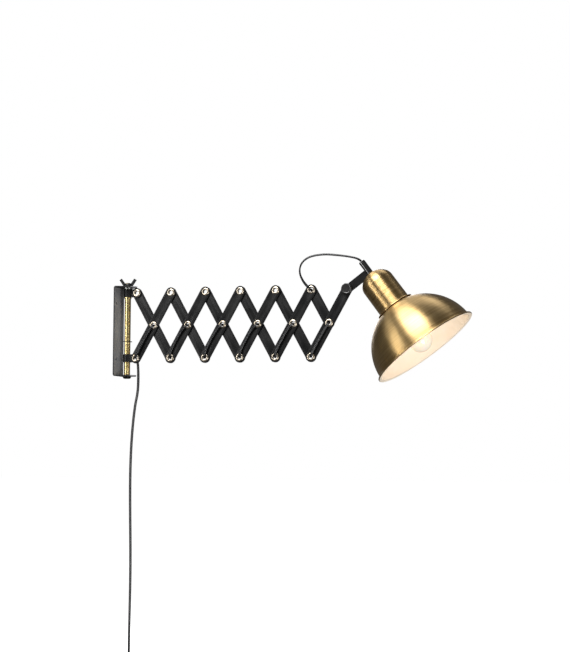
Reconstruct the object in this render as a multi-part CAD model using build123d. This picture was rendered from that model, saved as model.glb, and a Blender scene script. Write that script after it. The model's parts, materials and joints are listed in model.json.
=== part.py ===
from build123d import *
import os
from math import acos, asin, cos, degrees, pi, radians, sin, sqrt, tan

# An accordion wall lamp: a bracket with a brass rod, a scissor arm of flat bars, and a tilting head.
# Millimetres. The origin is the middle of the bracket's wall face: +X leaves the wall along the arm,
# +Z is up, and -Y is the lamp's front.

# ---- driving dimensions -----------------------------------------------------------------------
# scissor arm
bar_reach = 145.0  # first pivot to last pivot of a full bar
bar_width = 20.0
bar_thickness = 2.5
bar_count = 6  # crossings along the arm
rest_angle = 29.0  # a bar's lean from upright, as photographed
layer_gap = 0.3  # between the front bars and the back bars
closed_gap = 0.8  # between neighbouring bars with the arm folded

# hollow rivets
eyelet_bore = 8.0
eyelet_wall = 1.0
eyelet_flange = 15.0  # across the rolled flange
eyelet_flange_height = 1.2
pivot_clearance = 0.08  # radial, round every barrel that turns

# wall bracket and rod
strap_spare = 8.23  # left under the lower strap with the arm folded
bracket_width = 50.0
sheet = 2.5
ear_reach = 38.0  # wall to the tip of each ear
bend_radius = 4.0  # outside of the sheet's bends
rod_from_wall = 20.0
rod_diameter = 12.0
rod_thread = 8.0  # across both turned-down ends
screw_spacing_y = 28.0
screw_spacing_z = 108.0
screw_hole = 4.8
end_cap_diameter = 16.0
end_cap_height = 4.5
rod_ring_height = 2.6
rod_ring_wall = 1.0
clip_z = -20.0  # the stop clip's middle, above the bracket's middle
clip_diameter = 18.5
clip_thickness = 1.2
washer_diameter = 17.0
ear_clearance = 0.55  # between the first bar's rounded end and the upper ear

# straps that carry the arm on the rod
strap_sheet = 2.0
strap_height = 15.5
strap_reach = 18.8  # rod to pivot
strap_ear = 18.0  # across the rounded end
slide_clearance = 0.1

# wing nut
hub_diameter = 17.0
hub_height = 6.0
wing_length = 16.5
wing_breadth = 5.4
wing_depth = 4.0
wing_splay = 35.0

# head: its own axis runs from the middle of the rim, upwards along the stem
head_tilt = 37.0  # the axis from upright
link_offset = 52.0  # tilt pivot to the head's axis
link_rise = 3.5  # the tilt pivot above the cover's top
link_width = 16.0
knob_diameter = 20.5
knob_height = 8.0
tilt_screw = 6.0
screw_head_diameter = 13.0
screw_head_height = 3.0
stem_diameter = 12.4
stem_bore = 8.0
stem_thread = 10.0
stem_rise = 28.5  # above the cover's top
shade_radius = 101.0
shade_wall = 1.2
shade_seat = 26.0  # radius of the flat that the lampholder clamps
lip_reach = 3.5  # from the shade's outside to the middle of the rolled bead
bead_radius = 1.8
cover_radius = 33.2  # at the foot
cover_top_radius = 31.8
cover_flange_radius = 37.3
cover_flange_height = 1.6
cover_height = 80.0
cover_dome = 25.0
cover_wall = 1.2
nut_across = 16.0  # the thin nut under the cover's dome, across its flats
nut_height = 3.5

# lampholder and bulb
holder_skirt = 19.5  # radius
holder_shoulder = 24.0
holder_depth = 45.6  # the skirt's mouth below the shade's flat
holder_body = 24.0  # above the shade's flat
holder_collar = 6.0  # threaded neck above the body
shell_wall = 0.5
bulb_radius = 22.5
bulb_reach = 34.3  # the globe's middle below the lampholder's mouth
bulb_neck_wall = 0.5  # between the glass neck and the outside of the screw cap
bulb_base_radius = 13.1
bulb_base_out = 6.0  # the screw cap's lower edge below the lampholder's mouth
bulb_base_height = 23.0
bulb_tip_height = 4.0
base_clearance = 0.95  # round the screw cap
glass_wall = 0.8

# cord
cord_diameter = 4.4
cord_gap = 0.3
cord_bend = 4.6  # where it turns into a hollow rivet
cord_lead = 1.2  # how far it stands out of the last hollow rivet before the loop turns
cord_drift = (2.0, 5.2, 5.2, 5.0, 3.9, 1.3)  # each front stretch lies this far left of its bar's middle
drift_run = 15.0  # along the bar, from a rivet to where the stretch lies over
drift_bend = 20.0
coil_radius = 25.0
coil_turns = 7
coil_pitch = 5.8
plug_length = 38.0
plug_width = 35.0
plug_thickness = 13.5
plug_pin_diameter = 4.0
plug_pin_length = 19.0
plug_pin_spacing = 18.6
plug_relief = 24.0
plug_tail = 14.0  # straight cord between the coil and the plug

# ---- places worked out from them --------------------------------------------------------------
lean = radians(rest_angle)
step = bar_reach * sin(lean)  # from one crossing to the next
drop = bar_reach * cos(lean)  # from a top pivot to the bottom pivot under it
cord_radius = cord_diameter / 2
barrel = eyelet_bore / 2 + eyelet_wall  # outside radius of a hollow rivet
rod_radius = rod_diameter / 2
front_face = -layer_gap / 2 - bar_thickness
back_face = layer_gap / 2 + bar_thickness
strap_gap = bar_thickness + layer_gap
pivot_x = rod_from_wall + strap_reach
least_lean = degrees(asin(2 * (bar_width + closed_gap) / bar_reach)) / 2
folded_drop = bar_reach * cos(radians(least_lean))
inside_height = bar_width / 2 + ear_clearance + folded_drop + strap_height / 2 + strap_spare
bracket_height = inside_height + 2 * sheet
ear_inside = inside_height / 2
pivot_z = ear_inside - bar_width / 2 - ear_clearance
washer_thickness = ear_inside - pivot_z - strap_height / 2 - 2 * slide_clearance
tilt_x = pivot_x + bar_count * step
stem_radius = stem_diameter / 2
cord_lift = eyelet_flange_height + cord_gap + cord_radius  # cord's middle above a bar's face
seat_height = sqrt(shade_radius**2 - shade_seat**2)  # heights of the head are above its rim
lip_radius = shade_radius + lip_reach
cover_low = sqrt(shade_radius**2 - (cover_radius - cover_wall) ** 2) + 0.2
cover_top = cover_low + cover_height
link_level = cover_top + link_rise
stem_top = cover_top + stem_rise
holder_mouth = seat_height - holder_depth
holder_bore = bulb_base_radius + base_clearance + shell_wall + 0.05
bulb_centre = holder_mouth - bulb_reach
bulb_neck = bulb_base_radius - bulb_neck_wall
bulb_base_bottom = holder_mouth - bulb_base_out
bulb_base_top = bulb_base_bottom + bulb_base_height
bulb_tip = bulb_base_top + bulb_tip_height

most_lean = degrees(acos((pivot_z - (clip_z - clip_thickness / 2 - strap_height / 2 - 0.3)) / bar_reach))


def top(k):
    """Place of the k-th top pivot, counted from the wall."""
    return Vector(pivot_x + (k - 1) * step, 0, pivot_z)


def bottom(k):
    """Place of the k-th bottom pivot."""
    return Vector(pivot_x + (k - 1) * step, 0, pivot_z - drop)


def crossing(k):
    """Place of the k-th crossing, half way down."""
    return Vector(pivot_x + (k - 0.5) * step, 0, pivot_z - drop / 2)


# ---- shared helpers ---------------------------------------------------------------------------
os.makedirs("parts", exist_ok=True)
parts = {}


def keep(name, shape):
    parts[name] = shape
    export_step(shape, f"parts/{name}.step")


def turned(profile):
    """A profile in (radius, height), turned about the Z axis."""
    return revolve(Plane.XZ * profile, Axis.Z)


def band(inner, outer, low, high):
    """A ring between two radii and two heights, as a profile."""
    return Pos((inner + outer) / 2, (low + high) / 2) * Rectangle(outer - inner, high - low)


def disc(radius, low, high):
    return Pos(0, 0, low) * Cylinder(radius, high - low, align=(Align.CENTER, Align.CENTER, Align.MIN))


def across(shape):
    """Turns a shape made along Z so that it lies along Y, with its +Z end at the back."""
    return Rot(-90, 0, 0) * shape


def sideways(y):
    """A plane that faces the back at the given y: its first axis is up, its second is +X."""
    return Plane(origin=(0, y, 0), x_dir=(0, 0, 1), z_dir=(0, 1, 0))


def corner_radii(points):
    """The arc at each point of a route: as large as 0.45 of its shorter run allows."""
    radii = []
    for before, here, after in zip(points, points[1:], points[2:]):
        run = min((here - before).length, (after - here).length)
        turn = (here - before).get_angle(after - here)
        radii.append(0.45 * run / tan(radians(turn) / 2))
    return radii


def tube(points, radii):
    """A round cord along straight runs that tangent arcs join."""
    path = FilletPolyline(*points, radius=radii)
    start = Plane(origin=path @ 0, z_dir=path % 0)
    return sweep(start * Circle(cord_radius), path=path), path.length


# ---- wall bracket, rod and what holds it ------------------------------------------------------
def wall_bracket():
    depth = 2 * ear_reach
    outer = Pos(depth / 2, 0) * RectangleRounded(depth, bracket_height, bend_radius)
    inner = Pos(depth / 2 + sheet, 0) * RectangleRounded(
        depth, bracket_height - 2 * sheet, bend_radius - sheet
    )
    strip = extrude(Plane.XZ * (outer - inner), bracket_width / 2, both=True)
    plate = Pos(sheet / 2, 0) * Rectangle(sheet, bracket_width)
    round_end = Pos(rod_from_wall, 0) * Circle(ear_reach - rod_from_wall)
    plan = extrude(make_hull((plate + round_end).edges()), bracket_height, both=True)
    body = strip & plan
    hole = Rot(0, 90, 0) * Cylinder(screw_hole / 2, 4 * sheet)
    for y in (-screw_spacing_y / 2, screw_spacing_y / 2):
        for z in (-screw_spacing_z / 2, screw_spacing_z / 2):
            body -= Pos(0, y, z) * hole
    rod_hole = disc(rod_thread / 2 + slide_clearance, -bracket_height, bracket_height)
    return body - Pos(rod_from_wall, 0, 0) * rod_hole


def guide_rod():
    thread_top = bracket_height / 2 + hub_height + 1.0
    thread_bottom = -bracket_height / 2 - end_cap_height + 2.0
    rod = disc(rod_radius, -ear_inside, ear_inside)
    rod += disc(rod_thread / 2, thread_bottom, thread_top)
    groove = band(rod_radius - 1.0, rod_radius + 1, clip_z - clip_thickness / 2, clip_z + clip_thickness / 2)
    rod -= turned(groove)
    return Pos(rod_from_wall, 0, 0) * rod


def stop_clip():
    ring = Circle(clip_diameter / 2) - Circle(rod_radius - 0.9)
    ring -= Pos(-clip_diameter / 2, 0) * Rectangle(clip_diameter, rod_diameter * 0.7)
    clip = extrude(ring, clip_thickness - 0.1)
    return Pos(rod_from_wall, 0, clip_z - clip_thickness / 2 + 0.05) * clip


def thrust_washer():
    ring = turned(band(rod_radius + slide_clearance, washer_diameter / 2, 0, washer_thickness))
    return Pos(rod_from_wall, 0, ear_inside - washer_thickness) * ring


def rod_ring():
    high = pivot_z - strap_height / 2 - slide_clearance
    ring = turned(band(rod_radius + 0.02, rod_radius + rod_ring_wall, high - rod_ring_height, high))
    return Pos(rod_from_wall, 0, 0) * ring


def rod_end_cap():
    low = -bracket_height / 2
    cap = disc(end_cap_diameter / 2, low - end_cap_height, low)
    cap = fillet(cap.edges().group_by(Axis.Z)[0], end_cap_height * 0.8)
    cap -= disc(rod_thread / 2 + 0.05, low - end_cap_height + 1.5, low)
    return Pos(rod_from_wall, 0, 0) * cap


def wing_nut():
    low = bracket_height / 2 + 0.1
    hub = turned(
        make_face(
            Polyline(
                (0, 0), (hub_diameter / 2, 0), (hub_diameter / 2, 2.0), (hub_diameter / 2 - 1.2, hub_height),
                (0, hub_height), close=True,
            )
        )
    )
    wing = Box(wing_breadth, wing_depth, wing_length, align=(Align.CENTER, Align.CENTER, Align.MIN))
    wing = fillet(wing.edges().filter_by(Axis.Z), 0.8)
    for side in (-1, 1):
        hub += Pos(side * (hub_diameter / 2 - wing_breadth / 2), 0, 0.6) * Rot(0, side * wing_splay, 0) * wing
    hub -= disc(40, -40, 0)
    hub -= disc(rod_thread / 2 + slide_clearance, -1, hub_height + 1)
    return Pos(rod_from_wall, 0, low) * hub


# ---- straps -----------------------------------------------------------------------------------
def strap():
    """The upper strap, with the rod at the origin: its ears hold a bar of the back layer."""
    bore = rod_radius + slide_clearance
    half = strap_height / 2
    ring = extrude(Circle(bore + strap_sheet), half, both=True)
    ear = Pos(0, strap_reach / 2) * Rectangle(strap_height, strap_reach) + Pos(0, strap_reach) * Circle(
        strap_ear / 2
    )
    ring += extrude(sideways(-strap_sheet) * ear, strap_sheet)
    ring += extrude(sideways(strap_gap) * ear, strap_sheet)
    mouth = Box(strap_reach + strap_ear, strap_gap, 2 * strap_ear, align=(Align.MIN, Align.MIN, Align.CENTER))
    ring -= mouth
    ring -= disc(bore, -strap_ear, strap_ear)
    return ring - Pos(strap_reach, 0, 0) * across(disc(barrel + pivot_clearance, -20, 20))


def mirrored_strap():
    return mirror(strap(), Plane.XZ)


# ---- bars and hollow rivets -------------------------------------------------------------------
def bar(face, length, holes):
    """A flat bar that stands on its first pivot; holes lists (distance up the bar, radius)."""
    outline = Pos(length / 2, 0) * SlotCenterToCenter(length, bar_width)
    for at, radius in holes:
        outline -= Pos(at, 0) * Circle(radius)
    return extrude(sideways(face) * outline, bar_thickness)


def eyelet(low, high):
    """A hollow rivet with rolled flanges outside two faces at y=low and y=high."""
    profile = band(eyelet_bore / 2, barrel, low - eyelet_flange_height, high + eyelet_flange_height)
    profile += band(barrel, eyelet_flange / 2, low - eyelet_flange_height, low)
    profile += band(barrel, eyelet_flange / 2, high, high + eyelet_flange_height)
    body = turned(profile)
    body = fillet(body.faces().group_by(Axis.Z)[0].edges(), eyelet_flange_height * 0.48)
    body = fillet(body.faces().group_by(Axis.Z)[-1].edges(), eyelet_flange_height * 0.48)
    return across(body)


fit = barrel + pivot_clearance
own = barrel + 0.02


def front_bar(k):
    """From the k-th bottom pivot up to the next top pivot."""
    last = tilt_screw / 2 + pivot_clearance if k == bar_count else own
    shape = bar(front_face, bar_reach, [(0, own), (bar_reach / 2, own), (bar_reach, last)])
    return Pos(bottom(k)) * Rot(0, rest_angle, 0) * shape


def back_bar(k):
    """From the next bottom pivot up to the k-th top pivot; the last one stops at its crossing."""
    if k == bar_count:
        shape = bar(layer_gap / 2, bar_reach / 2, [(0, fit), (bar_reach / 2, fit)])
        return Pos(crossing(k)) * Rot(0, -rest_angle, 0) * shape
    shape = bar(layer_gap / 2, bar_reach, [(0, fit), (bar_reach / 2, fit), (bar_reach, fit)])
    return Pos(bottom(k + 1)) * Rot(0, -rest_angle, 0) * shape


def bar_eyelets(k):
    """The hollow rivets that are fixed in the k-th front bar."""
    places = [bottom(k), crossing(k), top(k + 1)][: 2 if k == bar_count else 3]
    rivets = [Pos(p) * eyelet(front_face, back_face) for p in places]
    if k == 1:
        rivets[0] = Pos(places[0]) * eyelet(-strap_gap - strap_sheet, strap_sheet)
    return Compound(children=rivets)


# ---- head -------------------------------------------------------------------------------------
head_y = (layer_gap + bar_thickness) / 2
head_place = (
    Pos(tilt_x, head_y, pivot_z) * Rot(0, -head_tilt, 0) * Pos(link_offset, 0, -link_level)
)


def cover_profile(foot, shoulder_radius, dome_height, low, rows):
    """Half section of the cover: rows of (radius, height) up to the shoulder, then an elliptical dome."""
    shoulder = cover_top - cover_dome
    wall = make_face(
        Polyline((0, low), (foot, low), *rows, (shoulder_radius, shoulder), (0, shoulder), close=True)
    )
    quarter = Pos(50, shoulder + 50) * Rectangle(100, 100)
    return wall + (Pos(0, shoulder) * Ellipse(shoulder_radius, dome_height) & quarter)


def cover_outline(extra):
    """Outside of the brass cover, grown by extra."""
    foot = cover_flange_radius + extra
    rows = [
        (foot, cover_low + cover_flange_height),
        (cover_radius + 1.4 + extra, cover_low + cover_flange_height + 0.8),
        (cover_radius + extra, cover_low + cover_flange_height + 4.5),
    ]
    return cover_profile(foot, cover_top_radius + extra, cover_dome + extra, cover_low, rows)


def socket_cover():
    inside = cover_radius - cover_wall
    rows = [(inside, cover_low + cover_flange_height + 4.5)]
    hollow = cover_profile(
        inside, cover_top_radius - cover_wall, cover_dome - cover_wall, cover_low - 1, rows
    )
    shell = turned(cover_outline(0)) - turned(hollow)
    return shell - disc(stem_thread / 2 + 0.1, cover_low, cover_top + 5)


def shade():
    """A spun half sphere with a clamped flat on top and a rolled bead round its lip."""
    inside = shade_radius - shade_wall
    ball = Circle(shade_radius) - Circle(inside)
    ball &= Pos(shade_radius, shade_radius) * Rectangle(2 * shade_radius, 2 * shade_radius)
    ball &= Pos(0, seat_height / 2) * Rectangle(4 * shade_radius, seat_height)
    ball += band(0, shade_seat - 0.4, seat_height - shade_wall, seat_height)
    ball += band(inside, lip_radius, bead_radius - shade_wall / 2, bead_radius + shade_wall / 2)
    ball += Pos(lip_radius, bead_radius) * Circle(bead_radius)
    ball -= band(inside - 5, inside, -5, bead_radius - shade_wall / 2)
    ball -= band(inside - 5, lip_radius - bead_radius, -5, bead_radius - shade_wall / 2)
    shell = turned(ball)
    return shell - disc(holder_skirt + 0.3, seat_height - 10, seat_height + 10)


def lampholder():
    """Skirt through the shade, shoulder on its flat, body up to the stem's thread."""
    body_top = seat_height + holder_body
    solid = disc(holder_skirt, holder_mouth, seat_height)
    solid += disc(holder_shoulder, seat_height, seat_height + 4.0)
    solid += disc(holder_skirt + 1.0, seat_height + 4.0, body_top)
    solid += disc(stem_thread / 2 + 4.0, body_top, body_top + holder_collar)
    solid -= disc(holder_bore, holder_mouth - 1, bulb_tip + 1.2)
    solid -= disc(holder_skirt - 3.0, bulb_tip + 6.0, body_top - 4.0)
    return solid - disc(stem_thread / 2 + 0.05, body_top - 5, body_top + holder_collar + 1)


def holder_contacts():
    """The screw shell and the sprung tongue that meets the bulb's tip."""
    shell = turned(band(holder_bore - 0.05 - shell_wall, holder_bore - 0.05, holder_mouth + 4, bulb_tip))
    tongue = Pos(0, 0, bulb_tip + 0.7) * Box(12, 5, 0.8)
    return Compound(children=[shell, tongue])


def shade_ring():
    high = seat_height - shade_wall
    ring = turned(band(holder_skirt + 0.05, shade_seat - 1.5, high - 6.0, high))
    notch = Pos(shade_seat - 1.5, 0, high - 6.0) * Box(3.0, 5.0, 5.0)
    for k in range(8):
        ring -= Rot(0, 0, 45 * k) * notch
    return ring


def stem():
    """Tube with a shoulder on the cover and a threaded end down into the lampholder."""
    body_top = seat_height + holder_body
    tube_body = disc(stem_radius, cover_top + 0.05, stem_top)
    tube_body += disc(stem_thread / 2, body_top - 4.0, cover_top + 0.05)
    return tube_body - disc(stem_bore / 2, body_top - 10, stem_top + 1)


def cover_nut():
    drop_in = cover_dome - cover_wall
    corner = nut_across / sqrt(3)
    inside = cover_top - cover_dome + drop_in * sqrt(1 - (corner / (cover_top_radius - cover_wall)) ** 2)
    outline = RegularPolygon(nut_across / 2, 6, major_radius=False) - Circle(stem_thread / 2 + 0.05)
    return Pos(0, 0, inside - nut_height - 0.05) * extrude(outline, nut_height)


def head_link():
    """The strip that joins the tilt pivot to the stem, shaped round the stem and the cover's dome."""
    strip = Pos(0, -link_offset / 2) * Rectangle(link_width, link_offset) + Pos(0, -link_offset) * Circle(
        link_width / 2
    )
    strip -= Pos(0, -link_offset) * Circle(tilt_screw / 2 + 0.05)
    plate = extrude(sideways(-bar_thickness / 2) * strip, bar_thickness)
    plate = Pos(0, 0, link_level) * plate
    plate -= disc(stem_radius + 0.02, cover_top - 20, stem_top + 20)
    plate -= turned(cover_outline(0.4))
    return max(plate.solids(), key=lambda s: s.volume)


def bulb_outline(radius, neck):
    """Half section of a globe that narrows into a straight neck."""
    join = bulb_centre + radius * 0.86 + 6.0
    globe = Pos(0, bulb_centre) * Circle(radius)
    throat = band(0, neck, bulb_centre, bulb_base_bottom + 6.0)
    waist = (radius * 0.97, bulb_centre + radius * 0.24)
    cone = make_face(Polyline((0, waist[1]), waist, (neck, join), (0, join), close=True))
    return (globe + throat + cone) & Pos(50, bulb_centre) * Rectangle(100, 200)


def bulb_glass():
    """Golf-ball bulb, blown thin."""
    neck = bulb_neck - 0.1
    below = Pos(0, bulb_centre) * Rectangle(200, 2 * (bulb_base_bottom + 5.0 - bulb_centre))
    hollow = bulb_outline(bulb_radius - glass_wall, neck - glass_wall) & below
    return turned(bulb_outline(bulb_radius, neck)) - turned(hollow)


def bulb_base():
    """Screw shell with its insulator and centre contact."""
    shell = turned(
        band(bulb_neck, bulb_base_radius, bulb_base_bottom, bulb_base_bottom + 7.0)
        + band(0, bulb_base_radius, bulb_base_bottom + 6.5, bulb_base_top)
    )
    cone = Polyline(
        (0, bulb_base_top), (10.0, bulb_base_top), (5.0, bulb_tip - 0.8), (5.0, bulb_tip), (0, bulb_tip),
        close=True,
    )
    return shell + turned(make_face(cone))


def tilt_fastener():
    """Round-headed screw from the back through the link and the last bar."""
    head = fillet(
        disc(screw_head_diameter / 2, back_face, back_face + screw_head_height).edges().group_by(Axis.Z)[-1],
        screw_head_height * 0.6,
    )
    return across(head + disc(tilt_screw / 2, front_face - knob_height + 1.5, back_face))


def tilt_knob():
    face = front_face - 0.3
    knob = disc(knob_diameter / 2, face - knob_height, face)
    knob = fillet(knob.edges().group_by(Axis.Z)[0], 1.0)
    knob -= disc(tilt_screw / 2 + 0.1, front_face - knob_height + 1.2, face + 1)
    return across(knob)


# ---- cord -------------------------------------------------------------------------------------
bar_depth = back_face + cord_lift
strap_depth = strap_gap + strap_sheet + cord_lift
loop_start = -back_face - eyelet_flange_height - cord_lead


def laced(length, side, depth_start, depth_end, finish=0.0, drift=0.0):
    """Cord from the middle of one rivet to the middle of another, along one face of a bar."""
    points = [Vector(0, 0, 0), Vector(0, side * depth_start, 0)]
    bends = [cord_bend, cord_bend]
    if drift:
        bends = [cord_bend, drift_bend, drift_bend, cord_bend]
        for along in (drift_run, length - drift_run):
            depth = depth_start + (depth_end - depth_start) * along / length
            points.append(Vector(-drift, side * depth, along))
    points += [Vector(0, side * depth_end, length), Vector(0, finish, length)]
    return tube(points, bends)[0]


def front_cord(k):
    start = strap_depth if k == 1 else bar_depth
    shape = laced(bar_reach / 2, -1, start, bar_depth, drift=cord_drift[k - 1])
    return Pos(bottom(k)) * Rot(0, rest_angle, 0) * shape


def back_cord(k):
    """Behind a back bar, down to the next bottom pivot; behind the half bar, up to its top pivot."""
    if k == bar_count:
        shape = laced(bar_reach / 2, 1, bar_depth, bar_depth, loop_start)
        return Pos(crossing(k)) * Rot(0, -rest_angle, 0) * shape
    shape = laced(bar_reach / 2, 1, bar_depth, bar_depth)
    return Pos(bottom(k + 1)) * Rot(0, -rest_angle, 0) * shape


def loop_route():
    """The free loop from the front of the last hollow rivet, over the stem's mouth and down inside it."""
    start = top(bar_count)
    points = [
        start + Vector(*p)
        for p in (
            (0, loop_start, 0), (0, -10.5, 0), (-12.5, -13.5, 14), (-20.5, -13, 31), (-18.5, -12, 47),
            (-8, -11, 58.5), (8, -10, 64), (30, -8, 66), (51, -5, 64), (71, -2, 61.5),
        )
    ]
    mouth = head_place * Pos(0, 0, stem_top + 7.0)
    inside = head_place * Pos(0, 0, seat_height + holder_body / 2)
    return points + [mouth.position, inside.position]


def hanging_route():
    """From behind the first bottom rivet, down past the bracket's lower ear and along the wall."""
    x, z = pivot_x, pivot_z - drop
    depth = strap_sheet + cord_lift
    lead = Vector(x, 0, z)
    points = [lead, Vector(x, depth + 0.4, z)]
    for dx, dy, fall in (
        (2.4, 0.8, 24), (2.2, 0.9, 62), (-2.6, 0.4, 100), (-8.4, -0.2, 140), (-11.2, 0.2, 190),
        (-12.0, 1.1, 245), (-11.2, 1.6, 303), (-9.6, 1.3, 362), (-8.7, 0.5, 420), (-9.0, 0.0, 478),
        (-9.8, 0.2, 536), (-9.8, 0.2, 590),
    ):
        points.append(Vector(x + dx, depth + dy, z - fall))
    return points


def biarc(start, leave, end, arrive):
    """Two tangent arcs from one place and direction to another."""
    gap = end - start
    both = leave + arrive
    spread = 2 * (1 - leave.dot(arrive))
    reach = (-gap.dot(both) + sqrt(gap.dot(both) ** 2 + spread * gap.dot(gap))) / spread
    middle = (start + end + (leave - arrive) * reach) * 0.5
    first = TangentArc(start, middle, tangent=leave)
    return [first, TangentArc(middle, end, tangent=first % 1)]


def cord_coil(entry):
    """Turns wound side by side, hanging from the entry and leaving straight down."""
    down = Vector(0, 0, -1)
    straight = cord_diameter
    begin = entry + down * straight
    centre = begin + Vector(0, coil_radius, 0)
    edges = [Line(entry, begin)]
    rise = coil_pitch / (2 * pi * coil_radius)
    here, heading = begin, down
    for quarter in range(1, 4 * coil_turns + 1):
        angle = quarter * pi / 2
        there = centre + Vector(
            coil_pitch * quarter / 4, -coil_radius * cos(angle), -coil_radius * sin(angle)
        )
        last = quarter == 4 * coil_turns
        turning = down if last else Vector(rise, sin(angle), -cos(angle)).normalized()
        edges += biarc(here, heading, there, turning)
        here, heading = there, turning
    edges.append(Line(here, here + down * plug_tail))
    path = Wire(edges)
    body = sweep(Plane(origin=entry, z_dir=down) * Circle(cord_radius), path=path)
    samples = [path.position_at(i / 1400) for i in range(1401)]
    apart = int(0.6 * 2 * pi * coil_radius / (path.length / 1400))
    least = min(
        (samples[i] - samples[j]).length
        for i in range(0, 1401, 3)
        for j in range(i + apart, min(i + 3 * apart, 1401))
    )
    print("coil", round(path.length), "mm long, least gap to itself", round(least - cord_diameter, 2), "mm")
    return body, here + down * plug_tail


def plug(entry):
    """Flat two-pin plug that hangs under the coil, with a tapered strain relief."""
    relief = loft([
        Plane(origin=entry, z_dir=(0, 0, 1)) * Circle(cord_radius + 0.8),
        Plane(origin=entry - Vector(0, 0, plug_relief), z_dir=(0, 0, 1)) * Circle(cord_radius + 2.6),
    ])
    low = entry - Vector(0, 0, plug_relief + plug_length / 2)
    grip = Box(plug_thickness, plug_width, plug_length)
    grip = fillet(grip.edges().filter_by(Axis.Z), plug_thickness * 0.42)
    grip = chamfer(grip.edges().group_by(Axis.Z)[-1], 3.0)
    return relief + Pos(low) * grip


def plug_pins(entry):
    face = entry - Vector(0, 0, plug_relief + plug_length)
    pins = []
    for side in (-1, 1):
        pin = disc(plug_pin_diameter / 2, -plug_pin_length, -0.02)
        pin = fillet(pin.edges().group_by(Axis.Z)[0], 1.2)
        pins.append(Pos(face + Vector(0, side * plug_pin_spacing / 2, 0)) * pin)
    return Compound(children=pins)


# ---- the lamp ---------------------------------------------------------------------------------
keep("wall_bracket", wall_bracket())
keep("guide_rod", guide_rod())
keep("stop_clip", stop_clip())
keep("thrust_washer", thrust_washer())
keep("rod_ring", rod_ring())
keep("rod_end_cap", rod_end_cap())
keep("wing_nut", wing_nut())
keep("upper_strap", Pos(rod_from_wall, 0, pivot_z) * strap())
keep("upper_strap_eyelet", Pos(top(1)) * eyelet(-strap_sheet, strap_gap + strap_sheet))
keep("lower_strap", Pos(rod_from_wall, 0, pivot_z - drop) * mirrored_strap())

for k in range(1, bar_count + 1):
    keep(f"front_bar_{k}", front_bar(k))
    keep(f"back_bar_{k}", back_bar(k))
    keep(f"eyelets_{k}", bar_eyelets(k))
    keep(f"front_cord_{k}", front_cord(k))
    keep(f"back_cord_{k}", back_cord(k))

for name, maker in (
    ("head_link", head_link), ("stem", stem), ("socket_cover", socket_cover), ("cover_nut", cover_nut),
    ("lampholder", lampholder), ("holder_contacts", holder_contacts), ("shade", shade),
    ("shade_ring", shade_ring), ("bulb_glass", bulb_glass), ("bulb_base", bulb_base),
):
    keep(name, head_place * maker())
tilt_place = Pos(tilt_x, 0, pivot_z)
keep("tilt_screw", tilt_place * tilt_fastener())
keep("tilt_knob", tilt_place * tilt_knob())

fall = hanging_route()
for name, route in (("loop_cord", loop_route()), ("hanging_cord", fall)):
    radii = corner_radii(route)
    radii[0] = cord_bend
    body, length = tube(route, radii)
    print(name, round(length), "mm long, radii", [round(r, 1) for r in radii])
    print(name, "volume over section x length", round(body.volume / (pi * cord_radius**2 * length), 4))
    keep(name, body)
coil, coil_end = cord_coil(fall[-1])
keep("cord_coil", coil)
keep("plug", plug(coil_end))
keep("plug_pins", plug_pins(coil_end))

print(len(parts), "nodes; lean from", round(least_lean, 2), "to", round(most_lean, 2), "degrees")
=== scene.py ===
import json
import math

import bmesh
import bpy
from mathutils import Matrix, Vector


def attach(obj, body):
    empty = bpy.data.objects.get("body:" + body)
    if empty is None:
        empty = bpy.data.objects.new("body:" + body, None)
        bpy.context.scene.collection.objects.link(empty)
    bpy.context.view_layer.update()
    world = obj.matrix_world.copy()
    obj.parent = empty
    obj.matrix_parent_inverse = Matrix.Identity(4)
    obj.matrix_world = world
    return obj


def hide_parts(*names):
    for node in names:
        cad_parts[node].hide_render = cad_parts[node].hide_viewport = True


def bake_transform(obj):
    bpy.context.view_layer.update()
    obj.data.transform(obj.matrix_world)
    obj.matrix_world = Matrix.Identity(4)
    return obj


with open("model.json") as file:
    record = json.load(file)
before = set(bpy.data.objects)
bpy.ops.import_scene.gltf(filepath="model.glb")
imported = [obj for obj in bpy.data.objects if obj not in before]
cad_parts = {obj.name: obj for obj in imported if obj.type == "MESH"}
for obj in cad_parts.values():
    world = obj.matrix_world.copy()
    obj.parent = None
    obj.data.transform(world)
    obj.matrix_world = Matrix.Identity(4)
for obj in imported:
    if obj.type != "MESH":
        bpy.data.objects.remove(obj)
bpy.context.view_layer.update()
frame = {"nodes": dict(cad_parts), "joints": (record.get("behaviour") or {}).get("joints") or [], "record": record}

mm = 0.001
mergeReach = 0.002 * mm  # doubled points nearer than this become one

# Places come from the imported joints, so the pieces follow the CAD when it changes
joints = {joint["name"]: joint for joint in frame["joints"]}
barPairs = 6
firstTop = Vector(joints["arm_extend"]["pos_m"])
firstCrossing = Vector(joints["crossing_1"]["pos_m"])
tiltPivot = Vector(joints["head_tilt"]["pos_m"])
armStep = 2 * (firstCrossing.x - firstTop.x)
armDrop = 2 * (firstTop.z - firstCrossing.z)
barReach = math.hypot(armStep, armDrop)
barLean = math.atan2(armStep, armDrop)
headRim = Vector(joints["bulb_turn"]["pos_m"])
headUp = Vector(joints["bulb_turn"]["axis"])
headTurn = Vector((0, 0, 1)).rotation_difference(headUp)
headPlace = Matrix.Translation(headRim) @ headTurn.to_matrix().to_4x4()  # middle of the rim, up the stem
acrossPlace = Matrix.Rotation(math.radians(-90), 4, "X")  # lays a spun piece down, its top to the back


def topPivot(k):
    return firstTop + Vector(((k - 1) * armStep, 0, 0))


def bottomPivot(k):
    return topPivot(k) - Vector((0, 0, armDrop))


def crossingPivot(k):
    return topPivot(k) + Vector((armStep / 2, 0, -armDrop / 2))


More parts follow.
